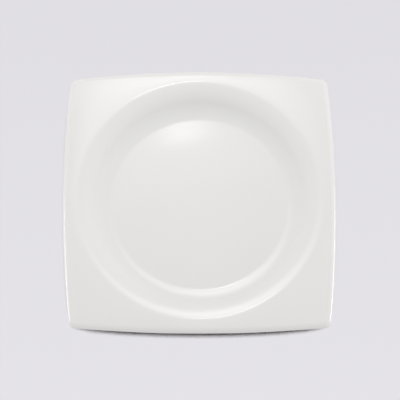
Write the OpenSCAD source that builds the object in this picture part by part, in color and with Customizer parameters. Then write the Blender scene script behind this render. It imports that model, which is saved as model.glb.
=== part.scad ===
// Square dinner plate of glazed porcelain, in millimetres.
// A round well with a flat floor lies in a square outline whose four sides bow outwards. The wall of
// the well is one hollow curve and one shoulder curve, and it turns over a crest into a rim that falls
// a little and rolls over into the lip. The plate stands on a foot ring that is wiped bare of glaze.
// The origin is the centre of the foot ring's resting face, and +Z is up.

/* [Outline] */
// Width across the middles of two opposite sides
plate_w = 260; // [245:1:300]
// How far the middle of a side stands out past its two ends
side_bow = 6.7; // [3:0.1:12]
// Radius of the four corners, seen from above
corner_r = 7; // [6.5:0.5:16]

/* [Well] */
// Diameter of the flat floor
floor_d = 166; // [130:1:176]
// Height of the crest above the floor
well_depth = 11.5; // [7:0.5:15]
// Share of the wall's width that the hollow curve at its foot takes
hollow_share = 0.48; // [0.35:0.01:0.65]

/* [Rim] */
// Width of the rim from the crest to the middle of a side
rim_w = 10; // [8:0.5:16]
// Fall of the rim from the crest to the lip at the middle of a side
side_fall = 0.2; // [0.1:0.1:0.8]
// Fall of the rim from the crest to the lip at a corner
corner_fall = 4.6; // [0.4:0.1:8]
// Radius of the curve in which the rim rolls over into the lip
roll_r = 6.5; // [4:0.5:7.5]
// Angle from level that this curve reaches, in degrees
roll_lean = 60; // [50:1:70]
// Radius of the lip's lower edge
nose_r = 1.2; // [0.8:0.1:1.6]

/* [Thickness] */
// Thickness of the finished wall, with the glaze on both of its faces
wall_t = 4.8; // [3.8:0.1:6]
// Thickness of the glaze
glaze_t = 0.35; // [0.2:0.05:0.6]

/* [Foot ring] */
// Height of the finished underside of the floor above the table
foot_h = 4; // [3.5:0.1:6]
// Width of the foot between its two lower edges
rest_w = 1.8; // [1:0.1:4]
// How far the foot's outer root lies inside the edge of the floor
foot_set = 1; // [0:0.5:6]
// Radius of the foot's two lower edges
foot_edge_r = 1.4; // [0.8:0.1:1.8]
// Radius of the hollow where each flank of the foot meets the floor
foot_root_r = 1.6; // [1:0.1:2]
// Slope of each flank of the foot, from upright, in degrees
foot_draft = 12; // [5:1:20]
// Height that is ground off the fired foot, so that it rests on one flat face
ground_h = 0.3; // [0.1:0.05:0.5]

/* [Hidden] */

// Steps along one side, round one corner, and along each part of the section
side_steps = 12;
corner_steps = 4;
curve_steps = 5;
rim_steps = 3;
roll_steps = 4;
nose_steps = 2;
foot_steps = 2;
lines_each = side_steps + corner_steps;
line_count = 4 * lines_each;

// The outline: each side is an arc whose centre lies past the middle of the plate
side_chord = plate_w / 2 - side_bow;
side_r = (side_chord * side_chord + side_bow * side_bow) / (2 * side_bow);
side_centre = side_r - plate_w / 2;
// The corner's centre lies at this distance from both middle lines, so that its arc meets both sides
corner_at = (sqrt(2 * pow(side_r - corner_r, 2) - side_centre * side_centre) - side_centre) / 2;
// Half of the angle that a side turns through, and the direction in which its end is seen from the middle
side_turn = atan2(corner_at, corner_at + side_centre);
side_end = atan2(side_r * sin(side_turn), side_r * cos(side_turn) - side_centre);

// The fired body lies under the glaze
body_t = wall_t - 2 * glaze_t;
under_z = foot_h + glaze_t;
floor_z = under_z + body_t;
crest_z = floor_z + well_depth;
floor_r = floor_d / 2;
crest_r = plate_w / 2 - rim_w;

// The wall: two arcs that meet at their steepest
wall_w = crest_r - floor_r;
wall_slope = 2 * atan(well_depth / wall_w);
hollow_r = hollow_share * wall_w / sin(wall_slope);
shoulder_r = (1 - hollow_share) * wall_w / sin(wall_slope);

// The rim: its width from the crest to the lip, at a side and at a corner, and its curve and its slope
// where it meets the lip at the middle of a side
lip_inset = (roll_r - nose_r) * sin(roll_lean) + nose_r;
lip_start_r = plate_w / 2 - lip_inset;
side_run = lip_start_r - crest_r;
corner_run = corner_at * sqrt(2) + corner_r - lip_inset - crest_r;
side_curve = side_fall / pow(side_run, 2);
side_lean = atan(2 * side_curve * side_run);

// The lip: the roll's centre lies under its start, and the lower edge's centre lies further out
roll_body_r = roll_r - glaze_t;
roll_z = crest_z - side_fall - roll_body_r / cos(side_lean);
nose_body_r = nose_r - glaze_t;
nose_at_r = plate_w / 2 - nose_r;
nose_z = roll_z + (roll_r - nose_r) * cos(roll_lean);

// The foot: the height of its straight flank, and where its roots and its lower edges lie
curve_drop = 1 - sin(foot_draft);
flank_h = under_z + ground_h - (foot_root_r + foot_edge_r) * curve_drop;
foot_edge_z = foot_edge_r - ground_h;
foot_spread = (foot_root_r + foot_edge_r) * cos(foot_draft) + flank_h * tan(foot_draft);
outer_root_r = floor_r - foot_set;
outer_rest_r = outer_root_r - foot_spread;
inner_rest_r = outer_rest_r - rest_w;
inner_root_r = inner_rest_r - foot_spread;

glaze_colour = [0.93, 0.925, 0.91];
bare_colour = [0.86, 0.83, 0.78];

// The plate is drawn along lines that run round it from the floor to the outline. Each quarter starts
// with one side, and ends with the corner after it. These are the angles at which line k of a quarter
// cuts the side's arc and the corner's arc.
function side_angle(k) =
    let (seen = side_end * (2 * k / side_steps - 1),
         reach = sqrt(pow(side_r, 2) - pow(side_centre * sin(seen), 2)) - side_centre * cos(seen))
    asin(reach * sin(seen) / side_r);

function corner_angle(k) = side_turn + (90 - 2 * side_turn) * (k - side_steps) / corner_steps;

function turned(point, angle) =
    [point.x * cos(angle) - point.y * sin(angle), point.x * sin(angle) + point.y * cos(angle)];

// The point at which a line meets the outline, moved in from the finished edge by inset.
function outline_spot(line, inset) =
    let (quarter = floor(line / lines_each),
         k = line % lines_each,
         on_side = k < side_steps,
         angle = on_side ? side_angle(k) : corner_angle(k),
         radius = (on_side ? side_r : corner_r) - inset,
         centre = on_side ? [-side_centre, 0] : [corner_at, corner_at])
    turned(centre + radius * [cos(angle), sin(angle)], 90 * quarter);

// A spot of the section is [distance from the axis, height, lean], where lean is the angle of the
// outward normal from straight up, turned away from the axis. A hollow arc has a negative radius.
function arc(centre_r, centre_z, radius, from, to, steps) =
    [for (i = [0:steps])
        let (lean = from + (to - from) * i / steps)
        [centre_r + radius * sin(lean), centre_z + radius * cos(lean), lean]];

function without_first(spots) = [for (i = [1:len(spots) - 1]) spots[i]];
function reversed(spots) = [for (i = [len(spots) - 1:-1:0]) spots[i]];
function raised(spot, coat) = [spot[0] + coat * sin(spot[2]), spot[1] + coat * cos(spot[2]), spot[2]];
function underside(spot) = let (low = raised(spot, -body_t)) [low[0], low[1], low[2] + 180];

// The section of the body through the middle of a side: the wall from the edge of the floor to the
// crest, the rim, and the lip with the spot under its start.
wall_spots = concat(
    arc(floor_r, floor_z + hollow_r, -hollow_r, 0, -wall_slope, curve_steps),
    without_first(arc(crest_r, crest_z - shoulder_r, shoulder_r, -wall_slope, 0, curve_steps)));
rim_spots =
    [for (i = [1:rim_steps - 1])
        let (run = side_run * i / rim_steps)
        [crest_r + run, crest_z - side_curve * pow(run, 2), atan(2 * side_curve * run)]];
roll_spots = arc(lip_start_r, roll_z, roll_body_r, side_lean, roll_lean, roll_steps);
lip_spots = concat(
    roll_spots,
    [[nose_at_r + nose_body_r, nose_z, 90]],
    without_first(arc(nose_at_r, nose_z, nose_body_r, 90, 180 + side_lean, nose_steps)),
    [underside(roll_spots[0])]);

// The foot's bare lower edges, still to be ground flat, and its inner side.
bare_spots = concat(
    arc(outer_rest_r, foot_edge_z, foot_edge_r, 90 + foot_draft, 180, foot_steps),
    arc(inner_rest_r, foot_edge_z, foot_edge_r, 180, 270 - foot_draft, foot_steps));
base_spots = concat(
    [bare_spots[len(bare_spots) - 1]],
    arc(inner_root_r, under_z - foot_root_r, -foot_root_r, 270 - foot_draft, 180, foot_steps));

// The face: over the well, the rim and the lip, and back under them and down the foot's outer side.
over_spots = concat(wall_spots, rim_spots);
face_spots = concat(
    over_spots,
    lip_spots,
    [for (spot = reversed(over_spots)) underside(spot)],
    arc(outer_root_r, under_z - foot_root_r, -foot_root_r, 180, 90 + foot_draft, foot_steps),
    [bare_spots[0]]);

// The rim falls along a parabola in every direction from the middle. Its width and its fall both
// change smoothly from the middle of a side, where cornering is 0, to a corner, where it is 1.
function rim_curve(point) =
    let (cornering = pow(sin(2 * atan2(point.y, point.x)), 4),
         run = side_run + (corner_run - side_run) * cornering,
         fall = side_fall + (corner_fall - side_fall) * cornering)
    fall / pow(run, 2);

// The place of a spot at one line round the plate. Up to the crest it turns about the axis. Across
// the rim it is spread out to the outline, and the lip stands square to the outline.
function placed(spot, line) =
    let (middle = outline_spot(line, lip_inset),
         square = (outline_spot(line, 0) - middle) / lip_inset,
         toward = middle / norm(middle),
         past_crest = max(spot[0] - crest_r, 0),
         flat = toward * min(spot[0], crest_r)
             + (middle - toward * crest_r) * min(past_crest / side_run, 1)
             + square * max(spot[0] - lip_start_r, 0),
         fall = rim_curve(flat) * pow(max(norm(flat) - crest_r, 0), 2))
    [flat.x, flat.y, spot[1] + side_curve * pow(past_crest, 2) - fall];

// The places of a list of spots at every line, with a coat of some thickness over them.
function coated(spots, coat, line) = [for (spot = spots) placed(raised(spot, coat), line)];

// A closed skin through one list of points for each line round the plate, with a pole at each end.
// The bands from back[0] up to back[1] run the other way along the section, so their facets are cut
// along the other diagonal, and lie on the facets of the skin that they meet.
module skin(lines, first_z, last_z, back = [0, 0]) {
    rows = len(lines[0]);
    first_pole = line_count * rows;
    last_pole = first_pole + 1;
    points = concat([for (line = lines) each line], [[0, 0, first_z], [0, 0, last_z]]);
    bands = [for (k = [0:line_count - 1], j = [0:rows - 2])
        let (here = k * rows + j, next = ((k + 1) % line_count) * rows + j)
        each j >= back[0] && j < back[1]
            ? [[here, next, here + 1], [next, next + 1, here + 1]]
            : [[here, next + 1, here + 1], [here, next, next + 1]]];
    caps = [for (k = [0:line_count - 1])
        let (here = k * rows, next = ((k + 1) % line_count) * rows)
        each [[first_pole, next, here], [last_pole, here + rows - 1, next + rows - 1]]];
    polyhedron(points, concat(bands, caps));
}

// The fired porcelain body with its foot ring in one piece, and the foot ground flat.
module plate_body() {
    // The first and last of the bare spots also end the face and start the base.
    bare = [for (i = [1:len(bare_spots) - 2]) bare_spots[i]];
    spots = concat(face_spots, bare, base_spots);
    color(bare_colour)
        difference() {
            skin([for (line = [0:line_count - 1]) coated(spots, 0, line)], floor_z, under_z);
            translate([0, 0, -2 * ground_h])
                cylinder(h = 2 * ground_h, r = floor_r);
        }
}

// The coat of glaze over the face, round the lip and down to the bare edge of the foot.
module face_glaze() {
    rows = len(face_spots);
    color(glaze_colour)
        skin([for (line = [0:line_count - 1])
                concat(coated(face_spots, glaze_t, line), reversed(coated(face_spots, 0, line)))],
             floor_z + glaze_t, floor_z, [rows, 2 * rows]);
}

// The coat of glaze inside the foot ring.
module base_glaze() {
    rows = len(base_spots);
    color(glaze_colour)
        skin([for (line = [0:line_count - 1])
                concat(reversed(coated(base_spots, 0, line)), coated(base_spots, glaze_t, line))],
             under_z, under_z - glaze_t, [0, rows - 1]);
}

plate_body();
face_glaze();
base_glaze();
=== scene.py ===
# A square dinner plate of glazed porcelain: its smooth surfaces, finishes, table, lamps and camera.
# Lengths are in metres and angles in radians, and +Z is up, as in the frame.
import math

import bpy
from mathutils import Matrix, Quaternion, Vector


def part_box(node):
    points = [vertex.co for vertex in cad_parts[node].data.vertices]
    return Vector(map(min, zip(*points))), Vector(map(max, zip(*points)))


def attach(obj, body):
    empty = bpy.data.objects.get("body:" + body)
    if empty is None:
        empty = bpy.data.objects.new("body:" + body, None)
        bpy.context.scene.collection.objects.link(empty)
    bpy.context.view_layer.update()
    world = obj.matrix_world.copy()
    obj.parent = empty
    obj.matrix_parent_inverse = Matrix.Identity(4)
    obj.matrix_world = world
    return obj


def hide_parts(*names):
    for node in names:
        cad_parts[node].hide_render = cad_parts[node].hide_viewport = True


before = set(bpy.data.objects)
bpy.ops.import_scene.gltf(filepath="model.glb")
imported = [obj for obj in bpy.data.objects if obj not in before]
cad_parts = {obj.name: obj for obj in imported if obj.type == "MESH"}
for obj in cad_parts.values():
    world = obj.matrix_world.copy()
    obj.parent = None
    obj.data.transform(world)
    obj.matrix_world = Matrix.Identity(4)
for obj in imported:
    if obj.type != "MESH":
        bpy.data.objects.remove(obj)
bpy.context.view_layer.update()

MM = 0.001
MICROMETRE = MM / 1000
scene = bpy.context.scene

# Sizes that the frame gives: the finished width, and the heights and thickness of body and glaze
face_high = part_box("face_glaze")[1]
body_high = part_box("plate_body")[1]
half_width = face_high.x
crest_z = body_high.z
glaze_t = face_high.z - body_high.z
under_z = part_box("base_glaze")[1].z

# The outline seen from above, and the finished thickness of the wall
side_bow = 6.7 * MM
corner_radius = 7 * MM
wall_t = 4.8 * MM

# The section: the edge of the floor, the wall and the rim
floor_radius = 83 * MM
hollow_share = 0.48
rim_width = 10 * MM
side_fall = 0.2 * MM
corner_fall = 4.6 * MM

# The lip: the curve in which the rim rolls over, and the lower edge
roll_radius = 6.5 * MM
roll_lean = math.radians(60)
nose_radius = 1.2 * MM

# The foot ring
rest_width = 1.8 * MM
foot_set = 1 * MM
foot_edge_radius = 1.4 * MM
foot_root_radius = 1.6 * MM
foot_draft = math.radians(12)
ground_height = 0.3 * MM
ground_edge_radius = 0.15 * MM

# How much thinner the glaze has run at the lip, and how much deeper it lies in the hollows
LIP_THINNING = 0.6
POOLING = 0.5

# How closely the deeper fall of the rim keeps to the corners: a higher power keeps it closer
CORNER_SHARPNESS = 4

# How finely the skins are drawn: lines round the outline, and steps along each part of the section
SIDE_LINES = 60
CORNER_LINES = 16
FLOOR_STEPS = 6
CURVE_STEPS = 20
RIM_STEPS = 8
ROLL_STEPS = 20
NOSE_STEPS = 8
FOOT_STEPS = 6
WELD_DISTANCE = 0.001 * MM

# Sizes that follow from these
upright = math.radians(90)
half_turn = math.radians(180)
body_t = wall_t - 2 * glaze_t
floor_z = under_z + body_t
well_depth = crest_z - floor_z
crest_radius = half_width - rim_width
wall_width = crest_radius - floor_radius
wall_slope = 2 * math.atan(well_depth / wall_width)
hollow_radius = hollow_share * wall_width / math.sin(wall_slope)
shoulder_radius = (1 - hollow_share) * wall_width / math.sin(wall_slope)
lip_inset = (roll_radius - nose_radius) * math.sin(roll_lean) + nose_radius
lip_start = half_width - lip_inset
side_run = lip_start - crest_radius
side_curve = side_fall / side_run**2
side_lean = math.atan(2 * side_curve * side_run)
roll_z = crest_z - side_fall - (roll_radius - glaze_t) / math.cos(side_lean)
nose_z = roll_z + (roll_radius - nose_radius) * math.cos(roll_lean)
foot_curve_drop = (foot_root_radius + foot_edge_radius) * (1 - math.sin(foot_draft))
flank_height = under_z + ground_height - foot_curve_drop
foot_spread = (foot_root_radius + foot_edge_radius) * math.cos(foot_draft)
foot_spread += flank_height * math.tan(foot_draft)
foot_edge_z = foot_edge_radius - ground_height
outer_root = floor_radius - foot_set
outer_rest = outer_root - foot_spread
inner_rest = outer_rest - rest_width
inner_root = inner_rest - foot_spread


# A spot of a section is (distance from the axis, height, lean, glaze), where lean is the angle of the
# outward normal from straight up, and glaze says how deep the glaze lies there: 1 is the usual depth.
def arc(centre, radius, start, end, steps, pooling=0.0):
    """The spots along an arc from one lean to another. A hollow arc has a negative radius."""
    spots = []
    for i in range(steps + 1):
        lean = start + (end - start) * i / steps
        glaze = 1 + pooling * math.sin(math.pi * i / steps) ** 2
        r = centre[0] + radius * math.sin(lean)
        z = centre[1] + radius * math.cos(lean)
        spots.append((r, z, lean, glaze))
    return spots


def raised(spot, coat):
    """The spot with a coat of some thickness over it."""
    r, z, lean, glaze = spot
    return (r + coat * math.sin(lean), z + coat * math.cos(lean), lean, glaze)


def underside(spots):
    """The other face of the wall, walked the other way."""
    low = [raised(spot, -body_t) for spot in reversed(spots)]
    return [(r, z, lean + half_turn, glaze) for r, z, lean, glaze in low]


def floor_rings(height, lean):
    """Spots from the axis almost to the edge of the floor."""
    return [(floor_radius * i / FLOOR_STEPS, height, lean, 1.0) for i in range(FLOOR_STEPS)]


def over_spots():
    """The body's upper face from the axis to the edge of the lip, through the middle of a side."""
    hollow_centre = (floor_radius, floor_z + hollow_radius)
    hollow = arc(hollow_centre, -hollow_radius, 0, -wall_slope, CURVE_STEPS, POOLING)
    shoulder = arc((crest_radius, crest_z - shoulder_radius), shoulder_radius, -wall_slope, 0, CURVE_STEPS)
    rim = []
    for i in range(1, RIM_STEPS):
        run = side_run * i / RIM_STEPS
        drop = side_curve * run**2
        rim.append((crest_radius + run, crest_z - drop, math.atan(2 * side_curve * run), 1.0))
    return hollow + shoulder[1:] + rim


def lip_spots():
    """The lip: the roll, the lower edge, with a spot where it is widest, and the spot under its start."""
    roll = arc((lip_start, roll_z), roll_radius - glaze_t, side_lean, roll_lean, ROLL_STEPS)
    nose_centre = (half_width - nose_radius, nose_z)
    above = arc(nose_centre, nose_radius - glaze_t, roll_lean, upright, NOSE_STEPS)
    below = arc(nose_centre, nose_radius - glaze_t, upright, half_turn + side_lean, NOSE_STEPS)
    lip = []
    for r, z, lean, _ in roll + above[1:] + below[1:]:
        lip.append((r, z, lean, 1 - LIP_THINNING * math.sin(lean - side_lean) ** 2))
    return lip + underside(roll[:1])


def outer_root_spots():
    """The hollow where the foot's outer flank meets the underside."""
    centre = (outer_root, under_z - foot_root_radius)
    return arc(centre, -foot_root_radius, half_turn, upright + foot_draft, FOOT_STEPS, POOLING)


def inner_root_spots():
    """The hollow where the foot's inner flank meets the underside of the floor."""
    centre = (inner_root, under_z - foot_root_radius)
    return arc(centre, -foot_root_radius, 3 * upright - foot_draft, half_turn, FOOT_STEPS, POOLING)


def ground_foot_spots():
    """The foot's bare lower edges, and the flat face between them that was ground on after firing."""
    inner_reach = foot_edge_radius - ground_edge_radius
    rise = foot_edge_z - ground_edge_radius
    across = math.sqrt(inner_reach**2 - rise**2)
    cut = half_turn - math.atan(across / rise)
    outer = arc((outer_rest, foot_edge_z), foot_edge_radius, upright + foot_draft, cut, FOOT_STEPS)
    ground_centre = (outer_rest + across, ground_edge_radius)
    outer += arc(ground_centre, ground_edge_radius, cut, half_turn, FOOT_STEPS)[1:]
    middle = (outer_rest + inner_rest) / 2
    inner = [(2 * middle - r, z, 2 * half_turn - lean, glaze) for r, z, lean, glaze in reversed(outer)]
    return outer + inner


def bead_spots(end, start_lean, end_lean):
    """The round edge in which the glaze ends on the foot, up to the spot end on the body."""
    centre = (end[0] - glaze_t * math.sin(end_lean), end[1] - glaze_t * math.cos(end_lean))
    return arc(centre, glaze_t, start_lean, end_lean, FOOT_STEPS)


def face_section():
    """The coat over the well, the rim and the lip, and back under them to the foot, then its inside."""
    body = over_spots() + lip_spots() + underside(over_spots()) + outer_root_spots()
    end = (outer_rest + foot_edge_radius * math.sin(upright + foot_draft),
           foot_edge_z + foot_edge_radius * math.cos(upright + foot_draft))
    inside = [*floor_rings(floor_z, 0), *body, (*end, upright + foot_draft, 1.0)]
    outside = [raised(spot, glaze_t) for spot in inside[:-1]]
    bead = bead_spots(end, upright + foot_draft, half_turn + foot_draft)
    return outside + bead + inside[-2::-1]


def base_section():
    """The coat inside the foot ring: its face against the body, then its outer face."""
    end = (inner_rest - foot_edge_radius * math.sin(upright + foot_draft),
           foot_edge_z + foot_edge_radius * math.cos(upright + foot_draft))
    body = [*inner_root_spots(), *reversed(floor_rings(under_z, half_turn))]
    outside = [raised(spot, glaze_t) for spot in body]
    bead = bead_spots(end, 3 * upright - foot_draft, half_turn - foot_draft)
    return [*reversed(body), *reversed(bead), *outside]


def body_section():
    """The fired body with its foot ring."""
    top = floor_rings(floor_z, 0) + over_spots() + lip_spots() + underside(over_spots())
    base = inner_root_spots() + floor_rings(under_z, half_turn)[::-1]
    return top + outer_root_spots() + ground_foot_spots() + base


class Number:
    """A number that a node tree works out at every point, so that sums read as sums."""

    def __init__(self, tree, socket):
        self.tree = tree
        self.socket = socket

    def math(self, operation, *others):
        node = self.tree.nodes.new("ShaderNodeMath")
        node.operation = operation
        for slot, value in zip(node.inputs, (self, *others)):
            if isinstance(value, Number):
                self.tree.links.new(value.socket, slot)
            else:
                slot.default_value = value
        return Number(self.tree, node.outputs[0])

    def __add__(self, other):
        return self.math("ADD", other)

    def __sub__(self, other):
        return self.math("SUBTRACT", other)

    def __mul__(self, other):
        return self.math("MULTIPLY", other)

    def __truediv__(self, other):
        return self.math("DIVIDE", other)

    def __pow__(self, other):
        return self.math("POWER", other)

    def __mod__(self, other):
        return self.math("MODULO", other)

    def floor(self):
        return self.math("FLOOR")

    def sine(self):
        return self.math("SINE")

    def cosine(self):
        return self.math("COSINE")

    def root(self):
        return self.math("SQRT")

    def at_least(self, other):
        return self.math("MAXIMUM", other)

    def at_most(self, other):
        return self.math("MINIMUM", other)

    def above(self, other):
        """1 where this is above the other, and 0 elsewhere."""
        return self.math("GREATER_THAN", other)

    def towards(self, other, share):
        """This at share 0, and the other at share 1."""
        return self + (other - self) * share


def add(tree, kind, settings=None, **links):
    """A node of some kind with its settings, and its inputs linked or set by their names."""
    node = tree.nodes.new(kind)
    for name, value in (settings or {}).items():
        setattr(node, name, value)
    for name, value in links.items():
        slot = node.inputs[name.replace("_", " ")]
        if isinstance(value, Number):
            value = value.socket
        if isinstance(value, bpy.types.NodeSocket):
            tree.links.new(value, slot)
        else:
            slot.default_value = value
    return node


SIZE_INPUTS = ("Half Width", "Side Bow", "Corner Radius", "Lip Inset", "Crest Radius",
               "Side Fall", "Corner Fall", "Side Lines", "Corner Lines", "Weld Distance")


def skin_tree():
    """A closed skin over one section. Up to the crest the section turns about the axis. Across the rim
    it is spread out to the bowed outline, and the lip stands square to that outline."""
    tree = bpy.data.node_groups.new("square plate skin", "GeometryNodeTree")
    tree.interface.new_socket("Section", in_out="INPUT", socket_type="NodeSocketGeometry")
    for name in SIZE_INPUTS:
        tree.interface.new_socket(name, in_out="INPUT", socket_type="NodeSocketFloat")
    tree.interface.new_socket("Finish", in_out="INPUT", socket_type="NodeSocketMaterial")
    tree.interface.new_socket("Skin", in_out="OUTPUT", socket_type="NodeSocketGeometry")
    given = tree.nodes.new("NodeGroupInput").outputs
    (half, bow, corner, inset, crest, side_drop, corner_drop, side_lines, corner_lines,
     weld) = [Number(tree, given[name]) for name in SIZE_INPUTS]

    # A sheet of points: its columns run round the plate, and its rows run along the section
    lines = side_lines + corner_lines
    counted = add(tree, "GeometryNodeAttributeDomainSize", Geometry=given["Section"])
    rows = Number(tree, counted.outputs["Point Count"])
    sheet = add(tree, "GeometryNodeMeshGrid", Vertices_X=lines * 4 + 1, Vertices_Y=rows)
    index = Number(tree, add(tree, "GeometryNodeInputIndex").outputs[0])
    column = (index / rows).floor()
    row = index % rows

    # The section's spot in this row, and how deep the glaze lies there
    spot_place = add(tree, "GeometryNodeInputPosition").outputs[0]
    spot = add(tree, "GeometryNodeSampleIndex", {"data_type": "FLOAT_VECTOR"},
               Geometry=given["Section"], Value=spot_place, Index=row)
    parts = add(tree, "ShaderNodeSeparateXYZ", Vector=spot.outputs[0]).outputs
    reach = Number(tree, parts["X"])
    height = Number(tree, parts["Z"])
    glaze_name = add(tree, "GeometryNodeInputNamedAttribute", {"data_type": "FLOAT"}, Name="glaze_depth")
    glaze = add(tree, "GeometryNodeSampleIndex", {"data_type": "FLOAT"},
                Geometry=given["Section"], Value=glaze_name.outputs[0], Index=row)

    # The outline: arcs for the four sides, and a smaller arc at each corner
    chord = half - bow
    side_radius = (chord * chord + bow * bow) / (bow * 2)
    side_centre = side_radius - half
    corner_radius_left = side_radius - corner
    corner_at = (((corner_radius_left**2) * 2 - side_centre**2).root() - side_centre) / 2
    side_turn = corner_at.math("ARCTAN2", corner_at + side_centre)

    # Where this column's line meets the middle of the lip, in the quarter that starts with a side
    quarter = (column / lines).floor()
    step = column % lines
    at_corner = step.above(side_lines - 1)
    side_angle = side_turn * (step / side_lines * 2 - 1)
    corner_angle = side_turn + (side_turn * -2 + upright) * (step - side_lines) / corner_lines
    angle = side_angle.towards(corner_angle, at_corner)
    radius = side_radius.towards(corner, at_corner) - inset
    out_x = angle.cosine()
    out_y = angle.sine()
    middle_x = (side_centre * -1).towards(corner_at, at_corner) + radius * out_x
    middle_y = corner_at * at_corner + radius * out_y
    middle = (middle_x**2 + middle_y**2).root()

    # The spot seen from above
    side_run = half - inset - crest
    turned = reach.at_most(crest)
    past_crest = (reach - crest).at_least(0)
    share = (past_crest / side_run).at_most(1)
    past_lip = (reach - (half - inset)).at_least(0)
    inner = (turned - crest * share) / middle + share
    flat_x = middle_x * inner + out_x * past_lip
    flat_y = middle_y * inner + out_y * past_lip

    # The rim falls along a parabola in every direction, more widely and further towards a corner
    flat = (flat_x**2 + flat_y**2).root()
    cornering = ((flat_x * flat_y * 2) / (flat**2)) ** CORNER_SHARPNESS
    corner_run = corner_at * math.sqrt(2) + corner - inset - crest
    run = side_run.towards(corner_run, cornering)
    drop = side_drop.towards(corner_drop, cornering)
    fall = drop / run**2 * (flat - crest).at_least(0) ** 2
    level = height + side_drop / side_run**2 * past_crest**2 - fall

    # Turned on to its own quarter
    turn = quarter * upright
    place = add(tree, "ShaderNodeCombineXYZ",
                X=flat_x * turn.cosine() - flat_y * turn.sine(),
                Y=flat_x * turn.sine() + flat_y * turn.cosine(),
                Z=level)
    placed = add(tree, "GeometryNodeSetPosition", Geometry=sheet.outputs["Mesh"], Position=place.outputs[0])
    stored = add(tree, "GeometryNodeStoreNamedAttribute", {"data_type": "FLOAT", "domain": "POINT"},
                 Geometry=placed.outputs[0], Name="glaze_depth", Value=glaze.outputs[0])
    welded = add(tree, "GeometryNodeMergeByDistance", Geometry=stored.outputs[0], Distance=weld)
    smooth = add(tree, "GeometryNodeSetShadeSmooth", Geometry=welded.outputs[0])
    outward = add(tree, "GeometryNodeFlipFaces", Mesh=smooth.outputs[0])
    real = add(tree, "GeometryNodeRealizeInstances", Geometry=outward.outputs[0])
    finished = add(tree, "GeometryNodeSetMaterial", Geometry=real.outputs[0], Material=given["Finish"])
    result = tree.nodes.new("NodeGroupOutput")
    tree.links.new(finished.outputs[0], result.inputs["Skin"])
    return tree


def plate_piece(node, section, finish):
    """One closed skin, drawn by the tree over its section and made a plain mesh, in place of a node."""
    sizes = dict(zip(SIZE_INPUTS, (half_width, side_bow, corner_radius, lip_inset, crest_radius, side_fall,
                                   corner_fall, SIDE_LINES, CORNER_LINES, WELD_DISTANCE)))
    sizes["Finish"] = finish
    mesh = bpy.data.meshes.new(node + "_section")
    mesh.from_pydata([(r, 0, z) for r, z, _, _ in section], [], [])
    depth = mesh.attributes.new("glaze_depth", "FLOAT", "POINT")
    depth.data.foreach_set("value", [glaze for _, _, _, glaze in section])
    drawn = bpy.data.objects.new(node + "_section", mesh)
    scene.collection.objects.link(drawn)
    modifier = drawn.modifiers.new("skin", "NODES")
    modifier.node_group = plate_skin
    for item in plate_skin.interface.items_tree:
        if item.name in sizes:
            value = sizes[item.name]
            modifier[item.identifier] = float(value) if item.socket_type == "NodeSocketFloat" else value
    evaluated = bpy.context.evaluated_depsgraph_get()
    skin = bpy.data.meshes.new_from_object(drawn.evaluated_get(evaluated), preserve_all_data_layers=True,
                                           depsgraph=evaluated)
    bpy.data.objects.remove(drawn)
    piece = bpy.data.objects.new("smooth_" + node, skin)
    scene.collection.objects.link(piece)
    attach(piece, "root")
    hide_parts(node)
    return piece


def new_material(name):
    """A new material, and its tree without any nodes."""
    material = bpy.data.materials.new(name)
    material.use_nodes = True
    material.node_tree.nodes.clear()
    return material, material.node_tree


def shader_group(name, inputs, outputs):
    """An empty shader group with named inputs and outputs, and the sockets inside it."""
    tree = bpy.data.node_groups.new(name, "ShaderNodeTree")
    for title, kind in inputs:
        tree.interface.new_socket(title, in_out="INPUT", socket_type=kind)
    for title, kind in outputs:
        tree.interface.new_socket(title, in_out="OUTPUT", socket_type=kind)
    return tree, tree.nodes.new("NodeGroupInput").outputs, tree.nodes.new("NodeGroupOutput").inputs


def mixed(tree, share, first, second):
    """The first colour at share 0, and the second at share 1."""
    node = tree.nodes.new("ShaderNodeMix")
    node.data_type = "RGBA"
    ends = [slot for slot in node.inputs if slot.type == "RGBA"]
    for slot, value in zip((node.inputs["Factor"], *ends), (share, first, second)):
        if isinstance(value, Number):
            value = value.socket
        if isinstance(value, bpy.types.NodeSocket):
            tree.links.new(value, slot)
        else:
            slot.default_value = value
    return next(slot for slot in node.outputs if slot.type == "RGBA")


# How many finer layers each noise pattern has
RELIEF_DETAIL = 1
CLOUD_DETAIL = 2
WEAR_DETAIL = 4


def relief_group():
    """Broad waves and fine grain on a surface, as one height."""
    number = "NodeSocketFloat"
    tree, given, result = shader_group(
        "relief",
        [("Place", "NodeSocketVector"), ("Broad Size", number), ("Broad Height", number),
         ("Fine Size", number), ("Fine Height", number)],
        [("Height", number)])
    total = None
    for title in ("Broad", "Fine"):
        scale = Number(tree, given[title + " Size"]) ** -1
        noise = add(tree, "ShaderNodeTexNoise", Vector=given["Place"], Scale=scale, Detail=RELIEF_DETAIL)
        height = Number(tree, noise.outputs["Fac"]) * Number(tree, given[title + " Height"])
        total = height if total is None else total + height
    tree.links.new(total.socket, result["Height"])
    return tree


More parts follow.
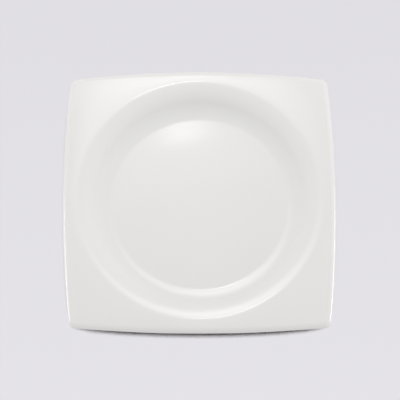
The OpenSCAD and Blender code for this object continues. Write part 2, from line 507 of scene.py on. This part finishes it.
def glaze_tone_group():
    """The colour of a glazed surface: paler where the glaze is thin, cooler where it lies deep, and
    faintly clouded."""
    number = "NodeSocketFloat"
    colour = "NodeSocketColor"
    tree, given, result = shader_group(
        "glaze tone",
        [("Place", "NodeSocketVector"), ("Thin Colour", colour), ("Usual Colour", colour),
         ("Deep Colour", colour), ("Cloud Size", number), ("Cloud Share", number)],
        [("Colour", colour), ("Cloud", number)])
    depth = Number(tree, add(tree, "ShaderNodeAttribute", {"attribute_name": "glaze_depth"}).outputs["Fac"])
    usual = mixed(tree, depth, given["Thin Colour"], given["Usual Colour"])
    even = mixed(tree, depth - 1, usual, given["Deep Colour"])
    noise = add(tree, "ShaderNodeTexNoise", Vector=given["Place"],
                Scale=Number(tree, given["Cloud Size"]) ** -1, Detail=CLOUD_DETAIL)
    cloud = Number(tree, noise.outputs["Fac"])
    dim = (cloud - 0.5) * Number(tree, given["Cloud Share"]) + 1
    clouded = add(tree, "ShaderNodeVectorMath", {"operation": "SCALE"}, Vector=even, Scale=dim)
    tree.links.new(clouded.outputs[0], result["Colour"])
    tree.links.new(cloud.socket, result["Cloud"])
    return tree


# Colours as they look under white light at full strength
THIN_GLAZE = (0.86, 0.852, 0.838, 1)
USUAL_GLAZE = (0.762, 0.754, 0.739, 1)
DEEP_GLAZE = (0.752, 0.752, 0.741, 1)
BISCUIT = (0.70, 0.66, 0.60, 1)
BISCUIT_WORN = (0.55, 0.51, 0.46, 1)
TABLE = (0.767, 0.753, 0.791, 1)

# The glaze: how it bends light, its waves, the grain as a share of their height, and its clouds
GLAZE_IOR = 1.52
WAVE_SIZE = 25 * MM
GRAIN_SIZE = 1.6 * MM
GRAIN_SHARE = 0.05
CLOUD_SIZE = 60 * MM
CLOUD_SHARE = 0.02
CLOUD_ROUGHNESS = 0.02

# The bare porcelain: how it bends light, its roughness, its waves and grain with their heights in
# micrometres, and the size of its worn spots
BISCUIT_IOR = 1.5
BISCUIT_ROUGHNESS = 0.75
BISCUIT_WAVE_SIZE = 1.2 * MM
BISCUIT_WAVE_HEIGHT = 8
BISCUIT_GRAIN_SIZE = 0.25 * MM
BISCUIT_GRAIN_HEIGHT = 6
WORN_SPOT_SIZE = 3 * MM

# The table as it is seen: its colour, and how its painted light changes its brightness with each metre to
# the back
TABLE_ROUGHNESS = 0.9
TABLE_SEEN = (0.774, 0.762, 0.796, 1)
TABLE_LEVEL = 0.989
PAINTED_LIGHT_SLOPE = -0.11
DIMMEST_TABLE = 0.95
BRIGHTEST_TABLE = 1.02

# The painted shadow on the table: its colour, how far off the plate counts, and how open the air is where
# it starts and ends
PAINTED_SHADOW_COLOUR = (0.042, 0.031, 0.031, 1)
SHADOW_REACH = 60 * MM
SHADOW_CORE = 0.455
SHADOW_EDGE = 0.507
SHADOW_SAMPLES = 16


def glaze_finish(name, roughness, wave_height):
    """Clear glossy glaze over white porcelain, with the faint waves of a surface that once ran. Their
    height is in micrometres."""
    material, tree = new_material(name)
    place = add(tree, "ShaderNodeTexCoord").outputs["Object"]
    tone = add(tree, "ShaderNodeGroup", {"node_tree": glaze_tone}, Place=place, Thin_Colour=THIN_GLAZE,
               Usual_Colour=USUAL_GLAZE, Deep_Colour=DEEP_GLAZE, Cloud_Size=CLOUD_SIZE,
               Cloud_Share=CLOUD_SHARE)
    ripple = add(tree, "ShaderNodeGroup", {"node_tree": relief}, Place=place, Broad_Size=WAVE_SIZE,
                 Broad_Height=wave_height, Fine_Size=GRAIN_SIZE, Fine_Height=wave_height * GRAIN_SHARE)
    bump = add(tree, "ShaderNodeBump", Strength=1, Distance=MICROMETRE, Height=ripple.outputs["Height"])
    clouded = Number(tree, tone.outputs["Cloud"]) * CLOUD_ROUGHNESS + roughness
    surface = add(tree, "ShaderNodeBsdfPrincipled", Base_Color=tone.outputs["Colour"], Roughness=clouded,
                  IOR=GLAZE_IOR, Normal=bump.outputs["Normal"])
    add(tree, "ShaderNodeOutputMaterial", Surface=surface.outputs[0])
    return material


def biscuit_finish(name):
    """Bare fired porcelain: matt and slightly grainy, and worn a little darker on the ground foot."""
    material, tree = new_material(name)
    place = add(tree, "ShaderNodeTexCoord").outputs["Object"]
    grain = add(tree, "ShaderNodeGroup", {"node_tree": relief}, Place=place,
                Broad_Size=BISCUIT_WAVE_SIZE, Broad_Height=BISCUIT_WAVE_HEIGHT,
                Fine_Size=BISCUIT_GRAIN_SIZE, Fine_Height=BISCUIT_GRAIN_HEIGHT)
    bump = add(tree, "ShaderNodeBump", Strength=1, Distance=MICROMETRE, Height=grain.outputs["Height"])
    height = Number(tree, add(tree, "ShaderNodeSeparateXYZ", Vector=place).outputs["Z"])
    spots = add(tree, "ShaderNodeTexNoise", Vector=place, Scale=1 / WORN_SPOT_SIZE, Detail=WEAR_DETAIL)
    worn = (height / ground_height * -1 + 1).at_least(0) * Number(tree, spots.outputs["Fac"])
    colour = mixed(tree, worn, BISCUIT, BISCUIT_WORN)
    surface = add(tree, "ShaderNodeBsdfPrincipled", Base_Color=colour, Roughness=BISCUIT_ROUGHNESS,
                  IOR=BISCUIT_IOR, Normal=bump.outputs["Normal"])
    add(tree, "ShaderNodeOutputMaterial", Surface=surface.outputs[0])
    return material


def table_finish():
    """A pale plain table. What looks straight at it, or at its reflection, sees it glow almost evenly, with
    painted light that makes it a little brighter toward the front, and a narrow warm painted shadow close
    under the plate."""
    material, tree = new_material("table")
    matt = add(tree, "ShaderNodeBsdfPrincipled", Base_Color=TABLE, Roughness=TABLE_ROUGHNESS)
    # Painted shadow: the seen colour darkens toward the painted shadow colour where the plate closes off
    # the open air above the table
    open_air = add(tree, "ShaderNodeAmbientOcclusion", {"samples": SHADOW_SAMPLES}, Distance=SHADOW_REACH)
    lit = add(tree, "ShaderNodeMapRange", {"interpolation_type": "SMOOTHSTEP"},
              Value=open_air.outputs["AO"], From_Min=SHADOW_CORE, From_Max=SHADOW_EDGE)
    colour = mixed(tree, lit.outputs[0], PAINTED_SHADOW_COLOUR, TABLE_SEEN)
    # Painted light: the table's glow is drawn a little brighter toward the front and dimmer toward the back
    place = add(tree, "ShaderNodeTexCoord").outputs["Object"]
    to_back = Number(tree, add(tree, "ShaderNodeSeparateXYZ", Vector=place).outputs["Y"])
    level = (to_back * PAINTED_LIGHT_SLOPE + TABLE_LEVEL).at_least(DIMMEST_TABLE).at_most(BRIGHTEST_TABLE)
    bright = add(tree, "ShaderNodeEmission", Color=colour, Strength=level)
    path = add(tree, "ShaderNodeLightPath").outputs
    seen = Number(tree, path["Is Camera Ray"]) + Number(tree, path["Is Glossy Ray"])
    seen = (seen + Number(tree, path["Is Transmission Ray"])).at_most(1)
    surface = add(tree, "ShaderNodeMixShader", Fac=seen)
    tree.links.new(matt.outputs[0], surface.inputs[1])
    tree.links.new(bright.outputs[0], surface.inputs[2])
    add(tree, "ShaderNodeOutputMaterial", Surface=surface.outputs[0])
    return material


relief = relief_group()
glaze_tone = glaze_tone_group()
plate_skin = skin_tree()
face_finish = glaze_finish("white_glaze", roughness=0.05, wave_height=2)
base_finish = glaze_finish("base_glaze", roughness=0.09, wave_height=3)
bare_finish = biscuit_finish("fired_porcelain")

plate_piece("plate_body", body_section(), bare_finish)
plate_piece("face_glaze", face_section(), face_finish)
plate_piece("base_glaze", base_section(), base_finish)

# The table, a hair's breadth under the foot, so that the two faces don't lie in one plane
table_reach = 3
table_gap = 0.02 * MM
table_mesh = bpy.data.meshes.new("table")
square = ((-1, -1), (1, -1), (1, 1), (-1, 1))
corners = [(x * table_reach, y * table_reach, -table_gap) for x, y in square]
table_mesh.from_pydata(corners, [], [(0, 1, 2, 3)])
table = bpy.data.objects.new("table", table_mesh)
scene.collection.objects.link(table)
table_mesh.materials.append(table_finish())


# How much power a square metre of lamp takes to look as bright as white at full strength
LAMP_POWER = 4


def softbox(name, from_top, to_left, distance, width, height, brightness, soft, twist=0):
    """A lamp that faces the plate, with a lit face of some size and brightness. Its place is given by
    two angles: from straight up, and from the back of the table towards the left. It fades out over the
    shares of its width and height in soft, from its right, left, lower and upper edges, and its face is
    turned in its own plane by the twist."""
    lamp = bpy.data.lights.new(name, "AREA")
    lamp.shape = "RECTANGLE"
    lamp.size = width
    lamp.size_y = height
    lamp.energy = brightness * LAMP_POWER * width * height
    lamp.use_nodes = True
    tree = lamp.node_tree
    tree.nodes.clear()
    spot = add(tree, "ShaderNodeNewGeometry").outputs["Parametric"]
    place = add(tree, "ShaderNodeSeparateXYZ", Vector=spot).outputs
    across = Number(tree, place["X"])
    upwards = Number(tree, place["Y"])
    fades = []
    for inwards, share in zip((across, across * -1 + 1, upwards, upwards * -1 + 1), soft):
        fade = add(tree, "ShaderNodeMapRange", {"interpolation_type": "SMOOTHSTEP"},
                   Value=inwards, From_Min=0, From_Max=share)
        fades.append(Number(tree, fade.outputs[0]))
    right, left, lower, upper = fades
    light = add(tree, "ShaderNodeEmission", Strength=right * left * lower * upper)
    add(tree, "ShaderNodeOutputLight", Surface=light.outputs[0])
    source = bpy.data.objects.new(name, lamp)
    aside = math.sin(from_top)
    direction = Vector((-aside * math.sin(to_left), aside * math.cos(to_left), math.cos(from_top)))
    source.location = direction * distance
    facing = direction.to_track_quat("Z", "Y") @ Quaternion((0, 0, 1), twist)
    source.rotation_euler = facing.to_euler()
    source.visible_camera = False
    scene.collection.objects.link(source)
    return source


# A large lamp above the back of the table lights the plate, and stands turned a little
softbox("key_lamp", from_top=math.radians(37.2), to_left=math.radians(5.2), distance=1.3, width=0.97,
        height=1.20, brightness=4.8, soft=(0.5, 0.5, 0.9, 0.6), twist=math.radians(10))

# A low lamp on each side draws the bright line along the lip, and fades out toward the back
softbox("left_lamp", from_top=math.radians(83.5), to_left=math.radians(82), distance=1.8, width=0.9,
        height=0.36, brightness=8.8, soft=(0.6, 0.2, 0.15, 0.4))
softbox("right_lamp", from_top=math.radians(83.5), to_left=math.radians(-82), distance=1.8, width=0.9,
        height=0.36, brightness=8.8, soft=(0.2, 0.6, 0.15, 0.4))

# A small lamp makes the bright spot at the back of the floor
softbox("small_lamp", from_top=math.radians(22.1), to_left=math.radians(2.1), distance=1.43, width=0.15,
        height=0.095, brightness=6.9, soft=(0.5, 0.5, 0.5, 0.5))

# The room round the lamps: how bright it is, and how much brighter to the right, the back and the top
ROOM_LEVEL = 0.72
ROOM_TO_RIGHT = 0.08
ROOM_TO_BACK = 0.06
ROOM_TO_TOP = 0.18
world = bpy.data.worlds.new("studio")
scene.world = world
world.use_nodes = True
tree = world.node_tree
tree.nodes.clear()
direction = add(tree, "ShaderNodeTexCoord").outputs["Generated"]
parts = add(tree, "ShaderNodeSeparateXYZ", Vector=direction).outputs
level = Number(tree, parts["X"]) * ROOM_TO_RIGHT + Number(tree, parts["Y"]) * ROOM_TO_BACK
level = level + Number(tree, parts["Z"]) * ROOM_TO_TOP + ROOM_LEVEL
air = add(tree, "ShaderNodeBackground", Color=(1, 1, 1, 1), Strength=level.at_least(0))
add(tree, "ShaderNodeOutputWorld", Surface=air.outputs[0])

# The camera: where it stands and looks, and how large the plate is in the picture
picture_width = 400
pixels_per_metre = 1051
camera_distance = 2.656
camera_elevation = math.radians(72.8)
camera_swing = math.radians(-2.39)
camera_roll = math.radians(2.24)
aim_right = 0.345 * MM
aim_up = 0.956 * MM
aim_z = 16.4 * MM

back = Vector((math.sin(camera_swing) * math.cos(camera_elevation),
               -math.cos(camera_swing) * math.cos(camera_elevation), math.sin(camera_elevation)))
right = Vector((math.cos(camera_swing), math.sin(camera_swing), 0))
up = back.cross(right)
lens = bpy.data.cameras.new("camera")
lens.lens = lens.sensor_width * pixels_per_metre * camera_distance / picture_width
camera = bpy.data.objects.new("camera", lens)
turned_right = right * math.cos(camera_roll) + up * math.sin(camera_roll)
turned_up = up * math.cos(camera_roll) - right * math.sin(camera_roll)
camera.matrix_world = Matrix((turned_right, turned_up, back)).transposed().to_4x4()
camera.location = Vector((0, 0, aim_z)) + right * aim_right + up * aim_up + back * camera_distance
scene.collection.objects.link(camera)
scene.camera = camera
scene.view_settings.view_transform = "Standard"
